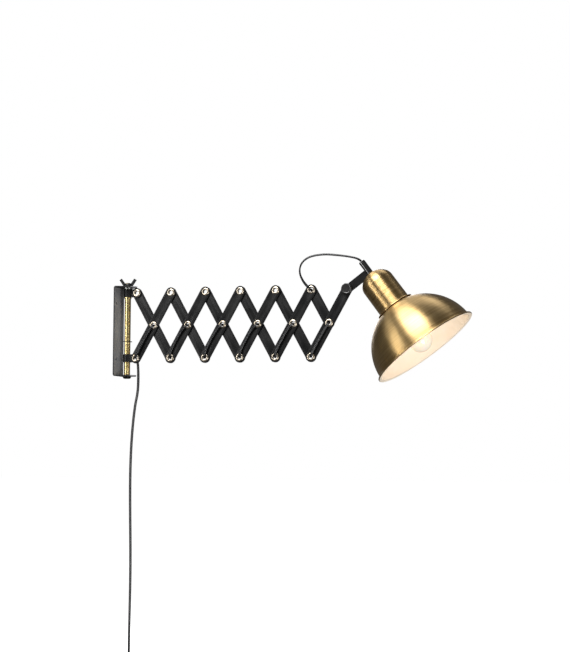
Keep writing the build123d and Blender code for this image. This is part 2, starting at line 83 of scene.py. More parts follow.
def barPlace(start, side):
    # local X across the bar, local Y along it, local Z through it
    across = Vector((math.cos(barLean), 0, -side * math.sin(barLean)))
    along = Vector((side * math.sin(barLean), 0, math.cos(barLean)))
    turn = Matrix((across, along, across.cross(along))).transposed()
    return Matrix.Translation(start) @ turn.to_4x4()


cameraValues = {  # fitted to the pivots of the arm in the photograph
    "target": (0.3388, 0.0, 0.00645), "distance": 3.304,  # metres
    "azimuth": 16.16, "elevation": -4.12, "roll": 0.39,  # degrees; azimuth is round from the lamp's front
    "focalPixels": 1744, "imageHeight": 652, "sensor": 36.0,
}


def addCamera():
    v = cameraValues
    azimuth, elevation, roll = (math.radians(v[key]) for key in ("azimuth", "elevation", "roll"))
    back = Vector((
        math.sin(azimuth) * math.cos(elevation),
        -math.cos(azimuth) * math.cos(elevation),
        math.sin(elevation),
    ))
    level = (-back).cross(Vector((0, 0, 1))).normalized()
    upright = level.cross(-back)
    right = level * math.cos(roll) + upright * math.sin(roll)
    up = upright * math.cos(roll) - level * math.sin(roll)
    data = bpy.data.cameras.new("photoCamera")
    data.sensor_width = v["sensor"]
    data.lens = v["focalPixels"] * v["sensor"] / v["imageHeight"]
    camera = bpy.data.objects.new("photoCamera", data)
    turn = Matrix((right, up, back)).transposed().to_4x4()
    camera.matrix_world = Matrix.Translation(Vector(v["target"]) + back * v["distance"]) @ turn
    bpy.context.scene.collection.objects.link(camera)
    bpy.context.scene.camera = camera


addCamera()
print("camera placed")


def hexColour(code):
    # sRGB hex to the linear values that Blender's sockets take
    parts = [int(code[i:i + 2], 16) / 255 for i in (1, 3, 5)]
    return [c / 12.92 if c <= 0.04045 else ((c + 0.055) / 1.055) ** 2.4 for c in parts] + [1.0]


def addNode(tree, kind, settings=None, links=None):
    # a setting goes to the node's own field where it has one, and otherwise to its input
    node = tree.nodes.new(kind)
    for key, value in (settings or {}).items():
        if isinstance(key, str) and hasattr(node, key):
            setattr(node, key, value)
        else:
            node.inputs[key].default_value = value
    for key, socket in (links or {}).items():
        tree.links.new(socket, node.inputs[key])
    return node


def addObject(name, mesh):
    piece = bpy.data.objects.new(name, mesh)
    bpy.context.scene.collection.objects.link(piece)
    return piece


def settle(piece, body, replaced=(), smooth=35):
    # last step for a new piece: shading, then hiding the CAD pieces it stands for, and the body it rides on
    piece.data.shade_smooth()
    piece.data.set_sharp_from_angle(angle=math.radians(smooth))
    if replaced:
        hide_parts(*replaced)
    if body:
        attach(piece, body)
    return piece


metal = {"Metallic": 1.0}
# grain is its size across and its depth in mm; colour and roughness drift between their two values
finishValues = {
    # Stove enamel on strip steel: deep black with a faint orange peel, so highlights are broad and broken
    "satinBlackEnamel": {
        "grain": (0.9, 0.015), "colours": ("#0a0a0b", "#141414"), "rough": (0.32, 0.42),
        "shader": {"Specular IOR Level": 0.2},
    },
    # Grey stove enamel on the bracket's plate: half matt and slightly cloudy
    "greyBracketEnamel": {
        "grain": (0.8, 0.02), "colours": ("#858587", "#949496"), "rough": (0.42, 0.55),
        "shader": {"Specular IOR Level": 0.35},
    },
    # Bright nickel plate on rolled brass rivets: warm silver with fine handling marks
    "brightNickelPlate": {
        "grain": (1.6, 0.003), "colours": ("#998e7c", "#bdb3a3"), "rough": (0.26, 0.34), "shader": metal,
    },
    # Polished brass rod: drawn lengthways, so its marks run up and down
    "polishedBrassRod": {
        "grain": (2.5, 0.001), "colours": ("#d6bc78", "#e6d096"), "rough": (0.22, 0.26), "shader": metal,
        "stretch": (1, 1, 0.04),
    },
    # Zinc plate on steel screws and washers: cool grey, patchy
    "zincPlatedSteel": {
        "grain": (0.7, 0.01), "colours": ("#9a9b98", "#c4c5c1"), "rough": (0.28, 0.42), "shader": metal,
    },
    # Pressed brass contacts, left plain: yellow and a little dull
    "pressedContactBrass": {
        "grain": (0.6, 0.01), "colours": ("#b08f48", "#d3b369"), "rough": (0.25, 0.38), "shader": metal,
    },
    # Nickel plate on the bulb's screw cap: cool, with a clear shine on each turn
    "platedScrewCap": {
        "grain": (0.5, 0.01), "colours": ("#a8a8a4", "#cfcfca"), "rough": (0.2, 0.34), "shader": metal,
    },
    # Moulded black phenolic: deep black, a soft gloss and faint flow marks
    "mouldedBlackPhenolic": {
        "grain": (1.4, 0.015), "colours": ("#0a0a0a", "#161514"), "rough": (0.24, 0.36),
        "shader": {"Specular IOR Level": 0.5, "Coat Weight": 0.3, "Coat Roughness": 0.18},
    },
    # PVC sheath of the twin flex: black and slightly waxy
    "blackFlexSheath": {
        "grain": (1.1, 0.01), "colours": ("#08080a", "#111112"), "rough": (0.26, 0.36),
        "shader": {"Specular IOR Level": 0.45},
    },
    # Soft moulded PVC of the plug: matt from a spark-eroded mould
    "mattPlugPvc": {
        "grain": (0.45, 0.03), "colours": ("#111112", "#1b1b1b"), "rough": (0.48, 0.6),
        "shader": {"Specular IOR Level": 0.4},
    },
    # Cream stove enamel inside the shade: warm white and half matt, with a faint painted glow standing in for the
    # bulb's light on it
    "creamEnamelWithPaintedGlow": {
        "grain": (0.8, 0.01), "colours": ("#f6e5d0", "#fcefde"), "rough": (0.4, 0.55),
        # painted glow: the lining emits a little light of its own, though it is no lamp
        "shader": {"Emission Color": hexColour("#ffeacd"), "Emission Strength": 0.25},
    },
    # Opal glass of the golf-ball bulb: milky, lit softly from within
    "opalBulbGlass": {
        "grain": (2.0, 0.004), "colours": ("#f6ecd8", "#fcf4e4"), "rough": (0.14, 0.2),
        "shader": {
            "Subsurface Weight": 0.4, "Subsurface Scale": 4 * mm, "Coat Weight": 0.3, "Coat Roughness": 0.1,
            "Emission Color": hexColour("#ffeed0"), "Emission Strength": 0.4,
        },
    },
    # Gloss black lacquer on the stem tube: takes one clean highlight down its length
    "glossBlackLacquer": {
        "grain": (1.2, 0.002), "colours": ("#0c0c0c", "#151515"), "rough": (0.14, 0.2),
        "shader": {"Specular IOR Level": 0.7, "Coat Weight": 0.8, "Coat Roughness": 0.12},
    },
    # Matt white studio board for the floor: even and pale, so only the lamp is seen
    "matWhiteBoard": {
        "grain": (3.0, 0.02), "colours": ("#f4f4f4", "#ffffff"), "rough": (0.85, 0.95),
        "shader": {
            "Specular IOR Level": 0.1, "Emission Color": hexColour("#ffffff"), "Emission Strength": 0.9,
        },
    },
}
cloudValues = {"size": 28.0, "fineShare": 0.5, "range": (0.55, 0.95), "bump": 0.6}  # size in mm
plateShadeValues = {"edge": "#101011", "facing": (0.55, 0.85)}  # painted shade: wherever the sheet does not face along X, its cut edges and ears, it is painted near-black; grey shows where it faces along X


def newMaterial(name, shaderValues):
    material = bpy.data.materials.new(name)
    material.use_nodes = True
    shader = material.node_tree.nodes["Principled BSDF"]
    for key, value in shaderValues.items():
        shader.inputs[key].default_value = value
    return material, material.node_tree, shader


def makeFinish(name):
    # a broad cloud and a fine grain together drift the colour and the roughness; the grain alone is the bump
    v, cloud = finishValues[name], cloudValues
    (size, depth), (low, high), rough = v["grain"], cloud["range"], v["rough"]
    material, tree, shader = newMaterial(name, v["shader"])
    spots = addNode(tree, "ShaderNodeTexCoord")
    drawn = addNode(tree, "ShaderNodeMapping", {"Scale": v.get("stretch", (1, 1, 1))},
                    {"Vector": spots.outputs["Object"]})
    fine = addNode(tree, "ShaderNodeTexNoise", {"Scale": 1 / (size * mm), "Detail": 4.0, "Roughness": 0.6},
                   {"Vector": drawn.outputs[0]})
    broad = addNode(tree, "ShaderNodeTexNoise", {"Scale": 1 / (cloud["size"] * mm), "Detail": 3.0},
                    {"Vector": spots.outputs["Object"]})
    both = addNode(tree, "ShaderNodeMath", {"operation": "MULTIPLY_ADD", 1: cloud["fineShare"]},
                   {0: fine.outputs["Fac"], 2: broad.outputs["Fac"]})
    tone = addNode(tree, "ShaderNodeValToRGB", {}, {"Fac": both.outputs[0]})
    for stop, position, colour in zip(tone.color_ramp.elements, cloud["range"], v["colours"]):
        stop.position, stop.color = position, hexColour(colour)
    tree.links.new(tone.outputs["Color"], shader.inputs["Base Color"])
    gloss = addNode(tree, "ShaderNodeMapRange", {
        "From Min": low, "From Max": high, "To Min": rough[0], "To Max": rough[1],
    }, {"Value": both.outputs[0]})
    tree.links.new(gloss.outputs[0], shader.inputs["Roughness"])
    bump = addNode(tree, "ShaderNodeBump", {"Strength": cloud["bump"], "Distance": depth * mm},
                   {"Height": fine.outputs["Fac"]})
    tree.links.new(bump.outputs[0], shader.inputs["Normal"])
    return material


def paintEdgeShade(material):
    # painted shade: the bracket's faces that do not face along X, its cut edges and its ears, are painted
    # near-black; its plate stays grey
    tree = material.node_tree
    colour = tree.nodes["Principled BSDF"].inputs["Base Color"]
    facing = addNode(tree, "ShaderNodeNewGeometry")
    split = addNode(tree, "ShaderNodeSeparateXYZ", {}, {0: facing.outputs["Normal"]})
    turned = addNode(tree, "ShaderNodeMath", {"operation": "ABSOLUTE"}, {0: split.outputs["X"]})
    low, high = plateShadeValues["facing"]
    plate = addNode(tree, "ShaderNodeMapRange", {"From Min": low, "From Max": high},
                    {"Value": turned.outputs[0]})
    # the near-black colour is painted shade, mixed in by which way each face turns
    mixed = addNode(tree, "ShaderNodeMix", {"data_type": "RGBA", 6: hexColour(plateShadeValues["edge"])},
                    {0: plate.outputs[0], 7: colour.links[0].from_socket})
    tree.links.new(mixed.outputs[2], colour)


brassValues = {
    "anisotropic": 0.9,
    "rings": ((3.4, 0.5), (1.5, 1.1)),  # mm from ring to ring, and how far each wanders on its way round
    "cloud": 45.0, "cloudShare": 0.7,  # mm across a darker patch
    "colours": ("#a0804e", "#d2b683"), "colourRange": (0.95, 1.75),
    "rough": (0.33, 0.44), "roughRange": (0.7, 1.3),
    "bump": 0.3, "depth": 0.008,  # depth in mm
}


def makeBrushedBrass():
    # Aged brass, spun and brushed on the lathe: fine rings parallel to the rim, which draw each highlight
    # out into a band along the axis. The rings are drawn coarser than real brushing, so that they show
    v = brassValues
    material, tree, shader = newMaterial("brushedAgedBrass", {**metal, "Anisotropic": v["anisotropic"]})
    spots = addNode(tree, "ShaderNodeTexCoord")
    local = addNode(tree, "ShaderNodeMapping", {
        "vector_type": "TEXTURE", "Location": headRim, "Rotation": headTurn.to_euler(),
    }, {"Vector": spots.outputs["Object"]})
    split = addNode(tree, "ShaderNodeSeparateXYZ", {}, {0: local.outputs[0]})
    flat = addNode(tree, "ShaderNodeVectorMath", {"operation": "MULTIPLY", 1: (1, 1, 0)},
                   {0: local.outputs[0]})
    radius = addNode(tree, "ShaderNodeVectorMath", {"operation": "LENGTH"}, {0: flat.outputs[0]})
    slide = addNode(tree, "ShaderNodeMath", {"operation": "SUBTRACT"},
                    {0: radius.outputs["Value"], 1: split.outputs["Z"]})
    angle = addNode(tree, "ShaderNodeMath", {"operation": "ARCTAN2"},
                    {0: split.outputs["Y"], 1: split.outputs["X"]})
    streaks = []
    for ring, wander in v["rings"]:
        across = addNode(tree, "ShaderNodeMath", {"operation": "MULTIPLY", 1: 1 / (ring * mm)},
                         {0: slide.outputs[0]})
        along = addNode(tree, "ShaderNodeMath", {"operation": "MULTIPLY", 1: wander}, {0: angle.outputs[0]})
        spot = addNode(tree, "ShaderNodeCombineXYZ", {}, {"X": across.outputs[0], "Y": along.outputs[0]})
        streaks.append(addNode(tree, "ShaderNodeTexNoise", {"Scale": 1.0, "Detail": 2.0, "Roughness": 0.55},
                               {"Vector": spot.outputs[0]}))
    rings = addNode(tree, "ShaderNodeMath", {"operation": "ADD"},
                    {0: streaks[0].outputs["Fac"], 1: streaks[1].outputs["Fac"]})
    cloud = addNode(tree, "ShaderNodeTexNoise", {"Scale": 1 / (v["cloud"] * mm), "Detail": 3.0},
                    {"Vector": local.outputs[0]})
    mixed = addNode(tree, "ShaderNodeMath", {"operation": "MULTIPLY_ADD", 1: v["cloudShare"]},
                    {0: cloud.outputs["Fac"], 2: rings.outputs[0]})
    low, high = v["colourRange"]
    share = addNode(tree, "ShaderNodeMapRange", {"From Min": low, "From Max": high},
                    {"Value": mixed.outputs[0]})
    tone = addNode(tree, "ShaderNodeValToRGB", {}, {"Fac": share.outputs[0]})
    for stop, colour in zip(tone.color_ramp.elements, v["colours"]):
        stop.color = hexColour(colour)
    tree.links.new(tone.outputs["Color"], shader.inputs["Base Color"])
    (low, high), rough = v["roughRange"], v["rough"]
    gloss = addNode(tree, "ShaderNodeMapRange", {
        "From Min": low, "From Max": high, "To Min": rough[0], "To Max": rough[1],
    }, {"Value": rings.outputs[0]})
    tree.links.new(gloss.outputs[0], shader.inputs["Roughness"])
    bump = addNode(tree, "ShaderNodeBump", {"Strength": v["bump"], "Distance": v["depth"] * mm},
                   {"Height": rings.outputs[0]})
    tree.links.new(bump.outputs[0], shader.inputs["Normal"])
    section = addNode(tree, "ShaderNodeTangent", {"direction_type": "UV_MAP", "uv_map": "UVMap"})
    tree.links.new(section.outputs[0], shader.inputs["Tangent"])
    return material


finishes = {name: makeFinish(name) for name in finishValues}
finishes["brushedAgedBrass"] = makeBrushedBrass()
paintEdgeShade(finishes["greyBracketEnamel"])
slotFinishes = {
    "black_steel": "satinBlackEnamel", "nickel": "brightNickelPlate", "bracket_grey": "greyBracketEnamel",
    "rod_brass": "polishedBrassRod", "aged_brass": "brushedAgedBrass", "zinc_steel": "zincPlatedSteel",
    "contact_brass": "pressedContactBrass", "black_moulding": "mouldedBlackPhenolic",
    "black_cord": "blackFlexSheath", "opal_glass": "opalBulbGlass", "bulb_cap": "platedScrewCap",
}
for row in frame["record"]["subparts"]:
    node = frame["nodes"][row["node"]]
    node.data.materials.clear()
    node.data.materials.append(finishes[slotFinishes[row["material_slot"]]])
print("materials made:", len(finishes))


def bend(start, pull, end, steps):
    # points of the curve from start to end that leaves and arrives in line with pull
    shares = [n / steps for n in range(steps + 1)]
    return [start * (1 - t) ** 2 + pull * 2 * t * (1 - t) + end * t ** 2 for t in shares]


def rounded(corners, steps=5):
    # a closed half section from (radius, height, corner radius) in mm
    points = []
    for i, (radius, height, size) in enumerate(corners):
        here = Vector((radius, height))
        if not size:
            points.append(here)
            continue
        before = (Vector(corners[i - 1][:2]) - here).normalized()
        after = (Vector(corners[(i + 1) % len(corners)][:2]) - here).normalized()
        reach = size / math.tan(before.angle(after) / 2)
        points += bend(here + before * reach, here, here + after * reach, steps)
    return points


def buildSpinTree():
    # turns a half section, given as the object's own points, about its Z axis
    tree = bpy.data.node_groups.new("spunSection", "GeometryNodeTree")
    for name, kind in (("Section", "Geometry"), ("Rows", "Int"), ("Segments", "Int"), ("Finish", "Material"),
                       ("Lining", "Material"), ("Lining from row", "Int")):
        tree.interface.new_socket(name, in_out="INPUT", socket_type="NodeSocket" + kind)
    tree.interface.new_socket("Spun", in_out="OUTPUT", socket_type="NodeSocketGeometry")
    given = addNode(tree, "NodeGroupInput")
    segments = given.outputs["Segments"]
    ring = addNode(tree, "ShaderNodeMath", {"operation": "ADD", 1: 1.0}, {0: segments})
    grid = addNode(tree, "GeometryNodeMeshGrid", {"Size X": 1.0, "Size Y": 1.0},
                   {"Vertices X": given.outputs["Rows"], "Vertices Y": ring.outputs[0]})
    # a point's number gives its row of the section and its share of the turn
    index = addNode(tree, "GeometryNodeInputIndex")
    both = {0: index.outputs[0], 1: ring.outputs[0]}
    share = addNode(tree, "ShaderNodeMath", {"operation": "DIVIDE"}, both)
    row = addNode(tree, "ShaderNodeMath", {"operation": "FLOOR"}, {0: share.outputs[0]})
    column = addNode(tree, "ShaderNodeMath", {"operation": "MODULO"}, both)
    part = addNode(tree, "ShaderNodeMath", {"operation": "DIVIDE"}, {0: column.outputs[0], 1: segments})
    angle = addNode(tree, "ShaderNodeMath", {"operation": "MULTIPLY", 1: 2 * math.pi}, {0: part.outputs[0]})
    place = addNode(tree, "GeometryNodeInputPosition")
    sample = addNode(tree, "GeometryNodeSampleIndex", {"data_type": "FLOAT_VECTOR", "domain": "POINT"}, {
        "Geometry": given.outputs["Section"], "Value": place.outputs[0], "Index": row.outputs[0],
    })
    split = addNode(tree, "ShaderNodeSeparateXYZ", {}, {0: sample.outputs[0]})
    spot = addNode(tree, "ShaderNodeCombineXYZ", {}, {"Z": split.outputs["Z"]})
    for axis, wave in (("X", "COSINE"), ("Y", "SINE")):
        turned = addNode(tree, "ShaderNodeMath", {"operation": wave}, {0: angle.outputs[0]})
        reach = addNode(tree, "ShaderNodeMath", {"operation": "MULTIPLY"},
                        {0: split.outputs["X"], 1: turned.outputs[0]})
        tree.links.new(reach.outputs[0], spot.inputs[axis])
    moved = addNode(tree, "GeometryNodeSetPosition", {},
                    {"Geometry": grid.outputs["Mesh"], "Position": spot.outputs[0]})
    mapped = addNode(tree, "GeometryNodeStoreNamedAttribute", {
        "data_type": "FLOAT2", "domain": "CORNER", "Name": "UVMap",
    }, {"Geometry": moved.outputs[0], "Value": grid.outputs["UV Map"]})
    finished = addNode(tree, "GeometryNodeSetMaterial", {},
                       {"Geometry": mapped.outputs[0], "Material": given.outputs["Finish"]})
    faceRow = addNode(tree, "ShaderNodeMath", {"operation": "DIVIDE"}, {0: index.outputs[0], 1: segments})
    lined = addNode(tree, "ShaderNodeMath", {"operation": "GREATER_THAN"},
                    {0: faceRow.outputs[0], 1: given.outputs["Lining from row"]})
    coated = addNode(tree, "GeometryNodeSetMaterial", {}, {
        "Geometry": finished.outputs[0], "Material": given.outputs["Lining"], "Selection": lined.outputs[0],
    })
    closed = addNode(tree, "GeometryNodeMergeByDistance", {"Distance": mergeReach},
                     {"Geometry": coated.outputs[0]})
    real = addNode(tree, "GeometryNodeRealizeInstances", {}, {0: closed.outputs[0]})
    addNode(tree, "NodeGroupOutput", {}, {0: real.outputs[0]})
    return tree


def buildRivetTree():
    # one spun rivet on every point of the object
    tree = bpy.data.node_groups.new("rivetsOnPivots", "GeometryNodeTree")
    for name, kind in (("Pivots", "Geometry"), ("Rivet", "Object"), ("Finish", "Material")):
        tree.interface.new_socket(name, in_out="INPUT", socket_type="NodeSocket" + kind)
    tree.interface.new_socket("Rivets", in_out="OUTPUT", socket_type="NodeSocketGeometry")
    given = addNode(tree, "NodeGroupInput")
    rivet = addNode(tree, "GeometryNodeObjectInfo", {"As Instance": True},
                    {"Object": given.outputs["Rivet"]})
    spread = addNode(tree, "GeometryNodeInstanceOnPoints", {},
                     {"Points": given.outputs["Pivots"], "Instance": rivet.outputs["Geometry"]})
    real = addNode(tree, "GeometryNodeRealizeInstances", {}, {0: spread.outputs[0]})
    finished = addNode(tree, "GeometryNodeSetMaterial", {},
                       {"Geometry": real.outputs[0], "Material": given.outputs["Finish"]})
    addNode(tree, "NodeGroupOutput", {}, {0: finished.outputs[0]})
    return tree


spinTree = buildSpinTree()
rivetTree = buildRivetTree()


def bakeTree(name, mesh, tree, values):
    # runs a Geometry Nodes tree on a mesh and keeps the result as a plain mesh
    source = addObject(name + ".source", mesh)
    modifier = source.modifiers.new("nodes", "NODES")
    modifier.node_group = tree
    for item in tree.interface.items_tree:
        if item.in_out == "INPUT" and item.name in values:
            modifier[item.identifier] = values[item.name]
    source.update_tag()
    bpy.context.view_layer.update()
    graph = bpy.context.evaluated_depsgraph_get()
    baked = bpy.data.meshes.new_from_object(
        source.evaluated_get(graph), preserve_all_data_layers=True, depsgraph=graph)
    bpy.data.objects.remove(source)
    baked.name = name
    return baked


def outward(mesh):
    # joins doubled points, then turns every face outwards
    work = bmesh.new()
    work.from_mesh(mesh)
    bmesh.ops.remove_doubles(work, verts=work.verts, dist=mergeReach)
    bmesh.ops.recalc_face_normals(work, faces=work.faces)
    work.to_mesh(mesh)
    work.free()
    return mesh


def spin(name, section, finish, place, segments, lining=None, liningFrom=None):
    # the lining takes over from one row of the section on, and without one the finish covers all
    loop = list(section) + [section[0]]
    mesh = bpy.data.meshes.new(name + ".section")
    edges = [(i, i + 1) for i in range(len(loop) - 1)]
    mesh.from_pydata([(p[0] * mm, 0, p[1] * mm) for p in loop], edges, [])
    baked = bakeTree(name, mesh, spinTree, {
        "Rows": len(loop), "Segments": segments, "Finish": finishes[finish],
        "Lining": finishes[lining or finish], "Lining from row": liningFrom or len(loop),
    })
    baked.transform(place)
    return outward(baked)


def arc(centre, radius, start, end, steps):
    # (radius, height) points in mm; the angle is measured from straight up, towards the outside
    turns = [math.radians(start + (end - start) * n / steps) for n in range(steps + 1)]
    return [(centre[0] + radius * math.sin(a), centre[1] + radius * math.cos(a)) for a in turns]


shadeValues = {  # mm above the rim, and degrees from straight up
    "radius": 101.0, "wall": 1.2, "seat": 26.0, "seatEase": 1.2, "hole": 19.9,
    "outerEnd": 87.8, "innerStart": 89.0, "innerEase": 0.4,
    "fillet": ((0.15, 3.3), (0.55, 2.75)),  # out from the shade and up, where it runs into the bead
    "bead": 1.8, "beadReach": 104.5, "beadTurn": (-52, 232),
    "lip": ((0.8, 1.0), (0.0, 0.95)), "innerLip": (0.1, 1.3),
    "creamSteps": 6,  # the cream runs over this much of the bead's underside
    "steps": 40, "beadSteps": 18, "segments": 160,
}


def makeShade():
    v = shadeValues
    outer, inner = v["radius"], v["radius"] - v["wall"]
    seatAngle = math.degrees(math.asin(v["seat"] / outer))
    seat = math.sqrt(outer ** 2 - v["seat"] ** 2)
    section = [(v["hole"], seat - v["wall"]), (v["hole"], seat), (v["seat"] - v["seatEase"], seat)]
    section += arc((0, 0), outer, seatAngle, v["outerEnd"], v["steps"])
    section += [(outer + out, height) for out, height in v["fillet"]]
    section += arc((v["beadReach"], v["bead"]), v["bead"], *v["beadTurn"], v["beadSteps"])
    liningFrom = len(section) - v["creamSteps"]
    section += [(outer + out, height) for out, height in v["lip"]]
    section += [(inner + v["innerLip"][0], v["innerLip"][1])]
    section += arc((0, 0), inner, v["innerStart"], seatAngle + v["innerEase"], v["steps"])
    mesh = spin("spunShade", section, "brushedAgedBrass", headPlace, v["segments"],
                "creamEnamelWithPaintedGlow", liningFrom)
    settle(addObject("spunShade", mesh), "head", ["shade"])


coverValues = {  # mm above the rim
    "low": 96.0, "foot": 33.2, "footHeight": 6.1, "shoulder": 31.8, "flange": 37.3, "flangeHeight": 1.6,
    "fillet": (1.4, 0.8),  # out from the foot and up from the flange
    "bends": (0.3, 0.5, 0.7, 1.2, 1.5), "bendSteps": 4,  # corner radii, from the inside out and up
    "top": 176.0, "dome": 25.0, "wall": 1.2, "hole": 5.1, "domeSteps": 18, "segments": 128,
}


def makeCover():
    v = coverValues
    flangeTop = v["low"] + v["flangeHeight"]
    corners = (
        (v["foot"] - v["wall"], v["low"]), (v["flange"], v["low"]), (v["flange"], flangeTop),
        (v["foot"] + v["fillet"][0], flangeTop + v["fillet"][1]), (v["foot"], v["low"] + v["footHeight"]),
    )
    section = rounded([(*corner, size) for corner, size in zip(corners, v["bends"])], v["bendSteps"])
    hole = math.degrees(math.asin(v["hole"] / v["shoulder"]))
    shoulder = v["top"] - v["dome"]
    for wall, start, end in ((0, 90, hole), (v["wall"], hole, 90)):  # over the dome, then back inside it
        wide, high = v["shoulder"] - wall, v["dome"] - wall
        section += [(wide * x, shoulder + high * y) for x, y in arc((0, 0), 1, start, end, v["domeSteps"])]
    mesh = spin("spunCover", section, "brushedAgedBrass", headPlace, v["segments"])
    settle(addObject("spunCover", mesh), "head", ["socket_cover"])


stemValues = {
    "section": (  # radius, height above the rim and corner radius in mm, from the threaded end up
        (4.0, 117.7, 0), (5.0, 117.7, 0.4), (5.0, 176.1, 0),
        (6.2, 176.1, 0.3), (6.2, 204.4, 0.9), (4.0, 204.4, 0.7),
    ),
    "segments": 64,
}


def makeStem():
    v = stemValues
    mesh = spin("stemTube", rounded(v["section"]), "glossBlackLacquer", headPlace, v["segments"])
    settle(addObject("stemTube", mesh), "head", ["stem"])


bulbValues = {  # mm above the rim, and degrees from straight up
    "centre": 17.7, "radius": 22.5, "globeEnd": 52, "globeSteps": 28,
    "neck": 12.5, "neckFoot": 46.5, "neckTop": 51.6,
    "waistPull": (12.85, 38.0), "waistSteps": 8, "segments": 96,
}


def makeBulb():
    v = bulbValues
    globe = arc((0, v["centre"]), v["radius"], 180, v["globeEnd"], v["globeSteps"])
    neckFoot = Vector((v["neck"], v["neckFoot"]))
    waist = bend(Vector(globe[-1]), Vector(v["waistPull"]), neckFoot, v["waistSteps"])
    section = globe + waist[1:] + [(v["neck"], v["neckTop"]), (0, v["neckTop"])]
    mesh = spin("opalBulb", section, "opalBulbGlass", headPlace, v["segments"])
    settle(addObject("opalBulb", mesh), "bulb", ["bulb_glass"])


knobValues = {
    "section": (  # radius, the row's Y and corner radius in mm, from the dish at the front to the boss
        (0, -10.35, 0), (7.4, -10.6, 1.5), (8.3, -10.95, 0.5), (10.25, -10.95, 1.3),
        (10.25, -2.95, 0.6), (3.1, -2.95, 0.2), (3.1, -3.8, 0), (0, -3.8, 0),
    ),
    "segments": 72,
}


def makeKnob():
    v, place = knobValues, Matrix.Translation(tiltPivot) @ acrossPlace
    mesh = spin("dishedKnob", rounded(v["section"]), "mouldedBlackPhenolic", place, v["segments"])
    settle(addObject("dishedKnob", mesh), "knob", ["tilt_knob"])


makeShade()
makeCover()
makeStem()
makeBulb()
makeKnob()
print("spun pieces made")

barValues = {  # mm
    "width": 20.0, "thickness": 2.5, "edge": 0.3, "layer": 1.4, "hole": 5.05, "screwHole": 3.1,
    "edgeSteps": 2, "endSteps": 24, "holeSteps": 40,
}


def ringPoints(radius, count, turn=2 * math.pi):
    return [(radius * math.cos(turn * n / count), radius * math.sin(turn * n / count)) for n in range(count)]


def makeBar(name, length, holes, middle, place):
    # a flat strip with round ends; holes are (place along the bar in metres, radius in mm)
    v = barValues
    curve = bpy.data.curves.new(name, "CURVE")
    curve.dimensions, curve.fill_mode = "2D", "BOTH"
    curve.extrude = (v["thickness"] / 2 - v["edge"]) * mm
    curve.bevel_depth, curve.offset = v["edge"] * mm, -v["edge"] * mm
    curve.bevel_resolution = v["edgeSteps"]
    half = v["width"] / 2 * mm
    ends = ringPoints(half, v["endSteps"], math.pi) + [(-half, 0)]
    outline = [(x, y + length) for x, y in ends] + [(-x, -y) for x, y in ends]
    circles = [[(x, at + y) for x, y in ringPoints(r * mm, v["holeSteps"])] for at, r in holes]
    for points in [outline, *circles]:
        spline = curve.splines.new("POLY")
        spline.points.add(len(points) - 1)
        for point, (x, y) in zip(spline.points, points):
            point.co = (x, y, 0, 1)
        spline.use_cyclic_u = True
    source = addObject(name + ".source", curve)
    graph = bpy.context.evaluated_depsgraph_get()
    mesh = bpy.data.meshes.new_from_object(source.evaluated_get(graph), depsgraph=graph)
    bpy.data.objects.remove(source)
    mesh.name = name
    mesh.transform(Matrix.Translation((0, middle * mm, 0)) @ place)
    mesh.materials.clear()
    mesh.materials.append(finishes["satinBlackEnamel"])
    return outward(mesh)


def makeBars():
    # the last back bar is half a bar, and the last front bar ends at the head's screw
    v = barValues
    hole, screw = v["hole"], v["screwHole"]
    for k in range(1, barPairs + 1):
        last = k == barPairs
        holes = [(0, hole), (barReach / 2, hole), (barReach, screw if last else hole)]
        mesh = makeBar(f"frontBar.{k}", barReach, holes, -v["layer"], barPlace(bottomPivot(k), 1))
        settle(addObject(f"frontBar.{k}", mesh), f"front_arm_{k}", [f"front_bar_{k}"])
        start, length = (crossingPivot(k), barReach / 2) if last else (bottomPivot(k + 1), barReach)
        holes = [(0, hole), (length, hole)] + ([] if last else [(length / 2, hole)])
        mesh = makeBar(f"backBar.{k}", length, holes, v["layer"], barPlace(start, -1))
        settle(addObject(f"backBar.{k}", mesh), f"back_arm_{k}", [f"back_bar_{k}"])


makeBars()
print("bars made")

rivetValues = {  # mm
    "roll": (  # radius and height of the rolled flange, from the bore out and back to the barrel
        (4.0, 0.35), (4.25, 0.85), (4.8, 1.12), (5.7, 1.07), (6.65, 0.75),
        (7.3, 0.4), (7.45, 0.12), (7.35, 0.0), (5.0, 0.0),
    ),
    "gap": 0.04, "segments": 40,
    "bars": (-2.65, 2.65), "lowStrap": (-4.8, 2.0), "highStrap": (-2.0, 4.8),  # faces that it holds together
}


def makeRivet(name, held, place=Matrix()):
    # a rolled flange at each end of a barrel; heights are the row's Y, measured from the pivot
    v = rivetValues
    low, high = v[held]
    section = [(r, high + v["gap"] + h) for r, h in v["roll"]]
    section += [(r, low - v["gap"] - h) for r, h in reversed(v["roll"])]
    return spin(name, section, "brightNickelPlate", place @ acrossPlace, v["segments"])


def makeRivets():
    # those between bars are one piece for each front bar; its first and last pivot may have another fixing
    rivet = addObject("rivet.source", makeRivet("rivet", "bars"))
    rivet.data.shade_smooth()
    for k in range(1, barPairs + 1):
        pivots = [crossingPivot(k)]
        if k > 1:
            pivots.insert(0, bottomPivot(k))
        if k < barPairs:
            pivots.append(topPivot(k + 1))
        points = bpy.data.meshes.new(f"rivets.{k}.points")
        points.from_pydata(pivots, [], [])
        mesh = bakeTree(f"rivets.{k}", points, rivetTree, {
            "Rivet": rivet, "Finish": finishes["brightNickelPlate"],
        })
        settle(addObject(f"rivets.{k}", mesh), f"front_arm_{k}", [f"eyelets_{k}"])
    bpy.data.objects.remove(rivet)
    low = makeRivet("rivet.lowStrap", "lowStrap", Matrix.Translation(bottomPivot(1)))
    settle(addObject("rivet.lowStrap", low), "front_arm_1", ["eyelets_1"])
    high = makeRivet("rivet.highStrap", "highStrap", Matrix.Translation(topPivot(1)))
    settle(addObject("rivet.highStrap", high), "upper_slide", ["upper_strap_eyelet"])


makeRivets()
print("rivets made")

